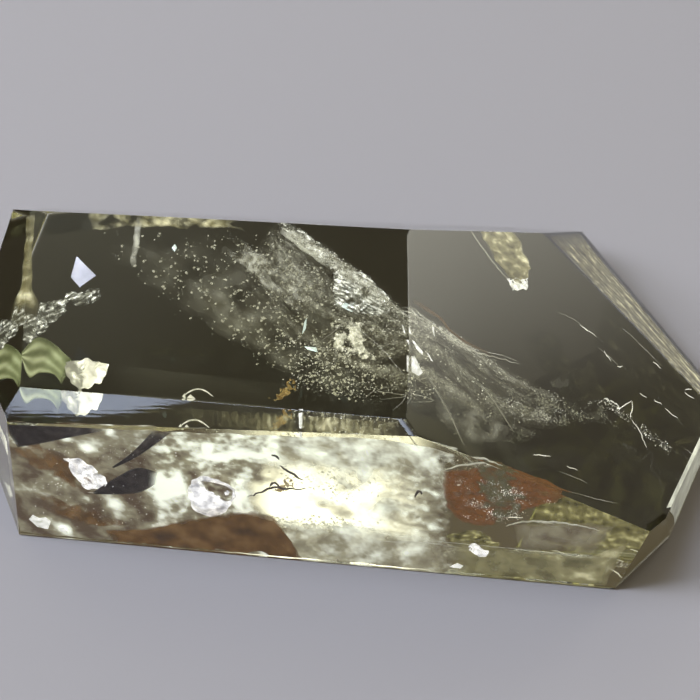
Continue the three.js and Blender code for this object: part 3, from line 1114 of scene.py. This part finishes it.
def front_chips():
    """Bright chips, pale spots, needles and hair cracks just behind the front facet."""
    specks = [behind_front(0.8, (-43, 20), (-34, 21), (-24, 22), (-14, 20)),
              behind_front(0.8, (-42, 2), (-34, 2), (-24, 2), (-12, 2))]
    cloud("front_left_specks", specks, lambda u, v, p: lumps(p, 3, 4) ** 3, SPARK,
          7, 0.08, 0.34, 0.3, tumble=70, seed=47)
    film("front_left_chip",
         [behind_front(0.9, (-37.8, 16.2), (-36, 16.6), (-34.2, 15), (-32.4, 13)),
          behind_front(1, (-36.9, 13.6), (-35.6, 13.2), (-34, 12.2), (-32.6, 11.9)),
          behind_front(0.9, (-36.4, 12.2), (-35.4, 10.6), (-34.4, 10.4), (-33.2, 11))],
         0.35, BRIGHT_CHIP, crumple=((0.6, 1.8), (0.3, 0.8)), lace=0.1, fringe=0.3, seed=4,
         thickness=CHIP_THICKNESS)
    film("front_shell",
         [behind_front(1.1, (-22, 10.9), (-21.2, 13.7), (-19.3, 14.6), (-17.1, 14), (-15.7, 12.7)),
          behind_front(0.9, (-21.9, 9.8), (-20.8, 10.6), (-19, 10.8), (-17, 11.2), (-15.7, 11.9)),
          behind_front(1.1, (-21.8, 8.7), (-20.5, 7.3), (-18.7, 6.9), (-16.9, 8.3), (-15.8, 11))],
         0.35, BRIGHT_CHIP, crumple=((0.5, 2.4), (0.2, 0.8)), fringe=0.1, seed=5, smooth=True,
         thickness=CHIP_THICKNESS)
    silk("front_shell_dark_part",
         [behind_front(0.72, (-20.2, 14.2), (-18.4, 14.1), (-16.8, 13.6), (-15.9, 12.7)),
          behind_front(0.72, (-19.6, 12.6), (-18.2, 11.4), (-17, 10.4), (-16.1, 11))],
         0.15, FRONT_SILK, lambda u, v, p: 0.93 * min(1, 9 * u, 9 * (1 - u), 9 * v, 9 * (1 - v)),
         lambda u, v, p: 0.12 + 0.3 * v + 1.1 * grain(p, 0.8, 2), seed=3)
    shards("front_bright_chips", [
        behind_front(0.8, (-43.4, 3), (-42.8, 4), (-42, 3.4), (-41.1, 3.7), (-40.5, 2.9), (-41, 1.2),
                     (-42.4, 1.5)),
        behind_front(0.8, (-39.6, 1.9), (-38.8, 2), (-38.2, 0.8), (-39.2, 0.8)),
        behind_front(0.8, (12.3, 0.9), (13.4, 1.9), (14.2, 1.4), (13.8, 0.8)),
    ], 0.12, SNOW)
    film("front_right_chip",
         [behind_front(1, (14.6, 5.4), (15.4, 6), (17.4, 4.8)),
          behind_front(1.2, (14.5, 4.6), (16, 3.8), (17.1, 3.5))],
         0.3, BRIGHT_CHIP, crumple=((0.5, 1.2), (0.2, 0.5)), fringe=0.2, seed=7,
         thickness=CHIP_THICKNESS)
    threads("twigs", [
        behind_front(0.9, (-14.2, 11.5), (-12.1, 13.1), (-10.4, 14.1), (-8.6, 13.9), (-6.4, 14.5)),
        behind_front(0.9, (-9.9, 18.6), (-8.4, 17.3), (-6.7, 16)),
        behind_front(0.9, (-11.2, 14), (-10.6, 15), (-9.6, 14.2)),
        behind_front(0.9, (-10.8, 20.6), (-10.2, 20.4), (-9.8, 19.6)),
        behind_front(0.9, (7.6, 14.4), (8, 16), (8.4, 15.2)),
    ], 0.42, DARK_NEEDLE, wander=0.3)
    threads("front_hairline", [
        behind_front(1, (8.6, 6), (14, 5.9), (21.5, 5.9), (29, 5.6)),
        behind_front(1, (3, 4.8), (9, 5.4), (14, 5)),
        behind_front(1, (-37.2, 14.6), (-35.8, 12.6), (-34.8, 10.6)),
        behind_front(1, (-35.2, 9.6), (-33.8, 9.8), (-32.4, 11.4)),
    ], 0.1, SCRATCH, wander=0.1)


def front_right_flaws():
    """A red-brown patch, grey films and a combed white veil in the right part of the front facet."""
    combed_rows = [behind_front(1.6, (3, 22.8), (6, 22.6), (9, 21.8), (12, 20.8)),
                   behind_front(2, (3, 15), (6, 14), (9, 13), (12, 12)),
                   behind_front(1.6, (3, 8), (6, 6), (9, 5), (12.6, 4))]

    def combed(along, across, point):
        hairs = 0.5 + 0.5 * math.sin(70 * across + 6 * along + 3 * lumps(point, 2, 2))
        return (0.25 + 0.5 * hairs * along) * edge_share(along, across, 0.2)

    silk("combed_veil", combed_rows, 0.2, FRONT_SILK, combed,
         lambda u, v, p: 0.5 + 1.2 * grain(p, 1.4, 8), crumple=((0.4, 2), (0.2, 0.8)), seed=16)

    rust = [
        behind_front(1.2, (11, 20.2), (14, 21), (17.8, 22.2), (21, 21), (24.4, 19.2), (27.6, 17.4)),
        behind_front(1.4, (11.2, 16), (14.5, 15.5), (17.8, 15.5), (20.8, 16), (23.8, 16.8), (26.4, 17)),
        behind_front(1.2, (11.6, 13), (14, 10), (17.5, 10), (20, 12.4), (23, 14.6), (25.7, 16.4)),
    ]

    def rust_cover(along, across, point):
        torn = 0.7 + 1.2 * (lumps(point, 1, 3) - 0.3)
        return 0.96 * min(1, torn, 14 * across, 6 * (1 - across), 14 * along, 6 * (1 - along) + 0.2)

    def rustiness(along, across, point):
        x, z = x_and_height(point)
        rough = grain(point, 1.4, 5)
        from_olive_band = abs(x - 17.2 - 0.2 * (23 - z)) + 2.4 * rough
        return 0.05 + 0.75 * step(from_olive_band, 1.5, 2.7) + rough

    silk("rust_patch", rust, 0.2, RUST_SILK, rust_cover, rustiness,
         crumple=((0.4, 2), (0.2, 0.7)), seed=21)
    grey = [behind_front(1.5, (20.5, 10.6), (25, 11.8), (29, 12.2), (33.6, 12.2)),
            behind_front(1.5, (21.2, 5), (24, 5.2), (27, 5.4), (30.8, 5.4))]
    silk("front_grey_film", grey, 0.3, FRONT_SILK,
         lambda u, v, p: 0.8 * min(1, 4 * v, 2 * (1 - v), 5 * u, 5 * (1 - u)),
         lambda u, v, p: 0.27 + 0.4 * grain(p, 2, 2), crumple=((0.3, 2),), seed=22)
    yellow = [behind_front(1.8, (12.5, 6.4), (18, 5.6), (24, 5.4), (31, 5.6), (35.6, 9.4)),
              behind_front(0.7, (12.5, 0.15), (18, 0.15), (24, 0.15), (31, 0.15), (33, 0.15))]
    silk("front_yellow_film", yellow, 0.3, GOLD_SILK,
         lambda u, v, p: 0.75 * min(1, 4 * v + 0.3, 6 * u, 6 * (1 - u)),
         lambda u, v, p: 0.22 + 0.25 * u + 0.7 * grain(p, 2.2, 7), crumple=((0.3, 2),), seed=26)
    threads("front_pale_rims", [
        behind_front(0.9, (11.3, 20.6), (13.6, 21.9), (17, 23), (19.2, 23)),
        behind_front(0.9, (19.4, 10.4), (22, 11.8), (27, 12.2), (31.5, 11.4)),
    ], 0.34, PALE_VEIL, wander=0.2)

    def chips(along, across, point):
        return max(0, lumps(point, 1.8, 4) * 1.8 - 0.9) * edge_share(along, across, 0.2)

    rows = [behind_front(0.9, (12.5, 19), (17, 20), (22, 18), (26, 16)),
            behind_front(0.9, (13.5, 11), (17, 11), (21, 12), (25, 15))]
    cloud("front_right_chips", rows, chips, SPARK, 120, 0.07, 0.3, 0.3, tumble=70, seed=43)


def back_edge_films():
    """Golden films under the edge between the large top facet and the back, and on the right side."""
    silk("back_edge_film",
         [[(-36, 12.6, 24), (-30, 12.4, 24.4), (-23, 11.8, 24.6), (-15, 10.8, 24.8)],
          [(-35.6, 9.4, 23), (-30, 9.4, 23), (-22, 9, 23), (-15, 8.6, 23)]],
         0.25, GOLD_SILK,
         lambda u, v, p: 1.6 * max(0, lumps(p, 2, 3) - 0.25) * edge_share(u, v, 0.25),
         lambda u, v, p: 0.25 + 0.9 * lumps(p, 1.2, 7), crumple=((0.5, 2.4), (0.2, 0.8)), seed=11)
    silk("upright_streak",
         [[(-29.5, 10.8, 24), (-29.7, 8.6, 22), (-30, 6.6, 20), (-30, 4.7, 18)],
          [(-28.6, 10.8, 24), (-28.7, 8.6, 22), (-29, 6.6, 20), (-29.2, 4.7, 18)]],
         0.2, VEIL_SILK, lambda u, v, p: 0.8 * lumps(p, 1.2, 3) * edge_share(u, v, 0.4),
         lambda u, v, p: 0.9, crumple=((0.3, 1.4),), seed=12)

    def lengthways(along, across, point):
        hairs = noise.noise(Vector((3 * along, 9 * across, 2)))
        return 0.5 + 0.9 * hairs + 0.4 * grain(point, 1.5, 3)

    silk("right_side_streaks",
         [[(31.4, 24, 7.8), (37.5, 15, 6.3), (44, 5, 4.7), (50, -3, 3.2)],
          [(26.2, 13.4, 19.2), (33, 6.2, 16), (40.5, -1.2, 12), (47.6, -8.4, 8.6)]],
         0.3, GOLD_SILK, lambda u, v, p: 0.85 * min(1, 6 * v, 6 * (1 - v), 6 * u, 6 * (1 - u)),
         lambda u, v, p: 0.12 + 0.6 * lengthways(u, 2.1 * v, p) + 0.8 * grain(p, 0.9, 5),
         crumple=((0.2, 2),), seed=23)


def edge_streaks():
    """A brown border above the veil and fine upright streaks under the bevelled edge in front."""
    silk("brown_border",
         [[(6.6, -5, 25.4), (10.1, -6.4, 23.7), (12.6, -8.6, 22.4), (17.2, -10.2, 20.1)],
          [(6.6, -5.8, 25.2), (10.1, -7.1, 23.5), (12.6, -9.2, 22.2), (17.2, -10.6, 20)]],
         0.2, BROWN_SILK, lambda u, v, p: 0.9 * edge_share(u, v, 0.3), lambda u, v, p: 0.2,
         crumple=((0.2, 2),), seed=13)
    bevel = [[(-28, -20.5, 23.8), (-17.8, -22, 24.2), (-5.8, -23.6, 25), (5.6, -25.3, 25.7)],
             [(-28, -22.8, 23), (-17.8, -24.1, 23.3), (-5.8, -25.9, 23.9), (5.6, -27, 24.9)]]

    def upright(along, across, point):
        hairs = noise.noise(Vector((point.x / (0.45 * MM), across * 2.5, 4)))
        return (0.22 + 0.35 * hairs + 0.6 * (lumps(point, 3, 3) - 0.4)) * step(along, 0.1, 0.75)

    silk("bevel_streaks", bevel, 0.16, GOLD_SILK,
         lambda u, v, p: upright(u, v, p) * min(1, 5 * v, 5 * (1 - v), 6 * (1 - u)),
         lambda u, v, p: 0.25 + 0.9 * upright(u, v, p), crumple=((0.1, 1),), seed=24)
    cloud("bevel_specks", bevel, lambda u, v, p: step(u, 0.55, 0.8) * lumps(p, 1.4, 6), SPARK,
          9, 0.08, 0.3, 0.2, tumble=60, seed=45)
    shards("bevel_chip", [
        [(-7.2, -22.7, 24.2), (-6.7, -22.7, 24.3), (-6.7, -24.6, 23.5), (-7.1, -24.6, 23.5)],
    ], 0.06, SNOW)


# ---------------------------------------------------------------- floor, lights and camera

FLOOR_REACH = 3.0
FLOOR_HEIGHT = -0.2 * MM
FLOOR_COLOUR = (0.62, 0.61, 0.64)


def matt_floor():
    """A plain pale floor, just under the stone."""
    finish = Finish("matt floor")
    finish.set(Base_Color=FLOOR_COLOUR, Roughness=0.9)
    mesh = bpy.data.meshes.new("floor")
    turns = ((-1, -1), (1, -1), (1, 1), (-1, 1))
    corners = [(x * FLOOR_REACH, y * FLOOR_REACH, FLOOR_HEIGHT) for x, y in turns]
    mesh.from_pydata(corners, [], [(0, 1, 2, 3)])
    mesh.materials.append(finish.material)
    floor = shown("floor", mesh)


def heading(bearing, rise):
    """A unit vector that looks along a bearing and a rise, in degrees."""
    around, up = math.radians(bearing), math.radians(rise)
    return Vector((math.cos(up) * math.cos(around), math.cos(up) * math.sin(around), math.sin(up)))


def softbox(name, bearing, rise, distance, size, radiance, colour):
    """A soft square lamp that looks at the stone from a bearing and a rise, in degrees."""
    lamp = bpy.data.lights.new(name, "AREA")
    lamp.shape = "SQUARE"
    lamp.size = size
    lamp.energy = radiance * math.pi * size * size
    lamp.color = colour
    item = shown(name, lamp)
    away = heading(bearing, rise)
    item.location = away * distance
    item.rotation_mode = "QUATERNION"
    item.rotation_quaternion = away.to_track_quat("Z", "Y")
    item.visible_camera = False


class Room(Graph):
    """The soft room round the stone, painted by bearing and rise, both in degrees."""

    def __init__(self):
        world = bpy.data.worlds.new("soft room")
        world.use_nodes = True
        super().__init__(world.node_tree)
        self.sky = self.made("ShaderNodeBackground")
        surface = Val(self, self.sky.outputs["Background"])
        self.made("ShaderNodeOutputWorld", {}, {"Surface": surface})
        bpy.context.scene.world = world
        self.way = self.node("ShaderNodeTexCoord", out="Generated")
        parts = self.made("ShaderNodeSeparateXYZ", {}, {0: self.way}).outputs
        east, north, up = [Val(self, socket) for socket in parts]
        self.bearing = self.angle("ARCTAN2", {0: north, 1: east})
        self.rise = self.angle("ARCSINE", {0: up})
        self.light = None

    def angle(self, operation, inputs):
        """An angle in degrees, from the function that undoes a sine or a tangent."""
        return self.node("ShaderNodeMath", {"operation": operation}, inputs) * math.degrees(1)

    def ramp(self, value, start, stop):
        """0 where a value is at start, turning softly to 1 where it is at stop."""
        inputs = {"Value": value, "From Min": min(start, stop), "From Max": max(start, stop)}
        share = self.node("ShaderNodeMapRange", {"interpolation_type": "SMOOTHSTEP"}, inputs)
        return share if stop > start else 1.0 - share

    def band(self, value, start, full, fading, end):
        """0 up to start, 1 from full to fading, and 0 again from end on."""
        return self.ramp(value, start, full) * self.ramp(value, end, fading)

    def facing(self, toward):
        """1 straight toward a way, falling to 0 at a right angle from it."""
        settings = {"operation": "DOT_PRODUCT"}
        return self.node("ShaderNodeVectorMath", settings, {0: self.way, 1: toward}, out="Value")

    def add(self, share, colour):
        """Adds light of a colour where share is above 0."""
        inputs = {0: colour, "Scale": share}
        tinted = self.node("ShaderNodeVectorMath", {"operation": "SCALE"}, inputs)
        if self.light is None:
            self.light = tinted
        else:
            inputs = {0: self.light, 1: tinted}
            self.light = self.node("ShaderNodeVectorMath", {"operation": "ADD"}, inputs)
        self.put(self.sky.inputs["Color"], self.light)


def studio_light():
    """Soft light from the room, with a few brighter panels that the stone mirrors, and one lamp."""
    room = Room()
    bearing, rise = room.bearing, room.rise
    room.add(room.ramp(rise, -90, -89), (0.13, 0.105, 0.065))
    room.add(room.ramp(rise, 26, 52), (0.12, 0.105, 0.065))
    room.add(room.ramp(rise, 50, 90), (0.28, 0.28, 0.30))
    left_sky = room.ramp(bearing, 98, 108) * room.ramp(bearing, 150, 130)
    room.add(left_sky * room.band(rise, 36, 44, 49.5, 54), (0.80, 0.82, 0.66))
    window = room.band(bearing, 84.4, 85.6, 88.0, 89.6) * room.band(rise, 17, 20, 42, 47)
    room.add(window, (2.7, 2.74, 2.66))
    side = room.band(bearing, 40.6, 47.4, 48.0, 50.8) * room.band(rise, 14, 20, 36, 44)
    room.add(side, (3.9, 3.85, 3.4))
    low_side = room.band(bearing, 30, 36, 46, 50.5) * room.band(rise, 14, 20, 36, 44)
    room.add(low_side, (0.42, 0.38, 0.29))
    cool_edge = room.ramp(room.facing(heading(267.67, -10.23)), 0.0010, -0.0009)
    cool = cool_edge * room.ramp(room.facing(heading(192.5, 73.4)), 0.981, 0.988)
    room.add(cool, (4.4, 5.1, 6.6))
    bpy.context.scene.view_settings.view_transform = "Standard"
    softbox("overhead", 183, 46, 1.0, 0.42, 8.6, (0.84, 0.88, 1.0))


CAMERA_RISE = 50.0
CAMERA_DISTANCE = 0.400
CAMERA_LENS = 153.3
CAMERA_NEAR = 0.01
CAMERA_FAR = 20.0
AIM = Vector((-0.8, -3.5, 14.6)) * MM
AIM_TO_CAMERA_FOOT = Vector((-0.8, -6.5, 12.0)) * MM


def camera():
    """A long lens that looks down at the stone from in front, from well above."""
    data = bpy.data.cameras.new("camera")
    data.lens = CAMERA_LENS
    data.clip_start = CAMERA_NEAR
    data.clip_end = CAMERA_FAR
    item = shown("camera", data)
    rise = math.radians(CAMERA_RISE)
    away = Vector((0, -math.cos(rise), math.sin(rise)))
    item.location = AIM_TO_CAMERA_FOOT + away * CAMERA_DISTANCE
    item.rotation_mode = "QUATERNION"
    item.rotation_quaternion = (AIM - item.location).to_track_quat("-Z", "Y")
    bpy.context.scene.camera = item


BOUNCES = 24
MIRROR_BOUNCES = 16


def light_paths():
    """Enough bounces for light to be mirrored several times inside the stone."""
    cycles = bpy.context.scene.cycles
    cycles.max_bounces = BOUNCES
    cycles.glossy_bounces = MIRROR_BOUNCES
    cycles.transmission_bounces = BOUNCES
    cycles.transparent_max_bounces = BOUNCES
    cycles.caustics_refractive = False
    cycles.caustics_reflective = False


# ---------------------------------------------------------------- the model

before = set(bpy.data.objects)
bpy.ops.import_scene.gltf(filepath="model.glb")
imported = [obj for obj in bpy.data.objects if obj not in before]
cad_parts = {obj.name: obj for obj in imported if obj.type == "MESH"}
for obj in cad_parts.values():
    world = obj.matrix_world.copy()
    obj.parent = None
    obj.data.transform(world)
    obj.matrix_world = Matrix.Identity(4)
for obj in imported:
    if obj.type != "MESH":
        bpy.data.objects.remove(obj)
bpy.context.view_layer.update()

stone = polished_stone(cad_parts["citrine"])
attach(stone, "root")
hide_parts("citrine")

FACETS = flat_facets(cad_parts["citrine"])
RECIPES = {False: scatter_recipe(False), True: scatter_recipe(True)}
FLAWS = []

# Each flaw finish gives off its colour as a painted glow that stands in for light scattered inside the
# stone: the last number of a mirror finish before any cover, and the number after the three colours of a
# silk finish.
SNOW = mirror_finish("white crack", (1.0, 1.0, 0.97), (0.42, 0.44, 0.38), 0.6, 0.2, 0.5, 0.05, 0.95)
SPARK = mirror_finish("bright specks", (1.0, 1.0, 0.94), (0.6, 0.6, 0.52), 2.0, 0.1, 0.4, 0.0, 0.85)
BRIGHT_CHIP = mirror_finish("bright chip", (1.0, 1.0, 0.98), (0.30, 0.30, 0.31), 1.2, 0.02, 0.2, 0.02, 1.0)
LILAC = mirror_finish("pale lilac crack", (0.60, 0.62, 0.78), (0.44, 0.46, 0.60), 2.0, 0.4, 0.5, 0.01, 0.5)
PALE_VEIL = mirror_finish("pale veil", (0.92, 0.93, 0.82), (0.55, 0.55, 0.45), 3.0, 0.3, 0.6, 0.0, 0.32)
HAZE = mirror_finish("thin haze", (0.84, 0.85, 0.74), (0.5, 0.5, 0.42), 3.0, 0.4, 0.6, 0.0, 0.18)
BUBBLE = mirror_finish("bubbles", (0.95, 0.96, 0.84), (0.6, 0.6, 0.5), 3.0, 0.35, 0.5, 0.0, 0.40, cover=0.5)
SCRATCH = mirror_finish("fine scratches", (0.8, 0.8, 0.74), (0.4, 0.4, 0.36), 1.0, 0.2, 0.4, 0.0, 0.35)
GROWTH_LINE = mirror_finish("growth lines",
                            (0.6, 0.6, 0.52), (0.4, 0.4, 0.34), 2.0, 0.3, 0.5, 0.0, 0.2, cover=0.5)
PALE_BLUE_SPOT = mirror_finish("pale blue spots",
                               (0.85, 1.0, 1.0), (0.6, 0.75, 0.78), 1.4, 0.2, 0.5, 0.02, 0.8)
RUST_GOLD = mirror_finish("golden rust", (0.62, 0.48, 0.22), (0.20, 0.12, 0.05), 0.8, 0.2, 0.5, 0.04, 0.35)
DARK_NEEDLE = mirror_finish("dark needles",
                            (0.09, 0.075, 0.065), (0.03, 0.025, 0.02), 1.0, 0.3, 0.6, 0.02, 0.6)
DARK_SILK = silk_finish("dark film", (0.016, 0.011, 0.008), (0.045, 0.036, 0.030), (0.16, 0.15, 0.12), 0.5)
VEIL_SILK = silk_finish("silky veil", (0.16, 0.15, 0.11), (0.42, 0.42, 0.36), (0.90, 0.91, 0.83), 0.6)
SILVER_SILK = silk_finish("silvery crack",
                          (0.06, 0.06, 0.05), (0.26, 0.27, 0.24), (0.98, 1.0, 0.98), 0.85, 0.25)
SNOW_SILK = silk_finish("white frost", (0.30, 0.30, 0.26), (0.62, 0.63, 0.54), (1.0, 1.0, 0.94), 0.8)
FRONT_SILK = silk_finish("cloudy film",
                         (0.075, 0.052, 0.03), (0.23, 0.215, 0.145), (0.80, 0.84, 0.74), 0.95)
BROWN_SILK = silk_finish("iron stain",
                         (0.055, 0.030, 0.009), (0.125, 0.066, 0.019), (0.20, 0.118, 0.044), 0.62)
RUST_SILK = silk_finish("rust film", (0.085, 0.078, 0.038), (0.11, 0.047, 0.012), (0.15, 0.063, 0.016), 0.8)
GOLD_SILK = silk_finish("golden film", (0.08, 0.07, 0.025), (0.24, 0.22, 0.11), (0.85, 0.82, 0.55), 0.8)
SHELL_SILK = silk_finish("yellow-green shell",
                         (0.05, 0.06, 0.025), (0.22, 0.25, 0.13), (0.58, 0.63, 0.42), 0.65)

for make in (wandering_veil, second_streak, bubble_cloud, bright_fractures, left_end_fractures,
             shell_crack, wedge_crack, flashes, right_end_flaws, curved_lines, brown_fleck,
             front_cloudiness, front_chips, front_right_flaws, back_edge_films, edge_streaks):
    make()

for piece in FLAWS:
    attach(piece, "root")

matt_floor()
studio_light()
light_paths()
camera()
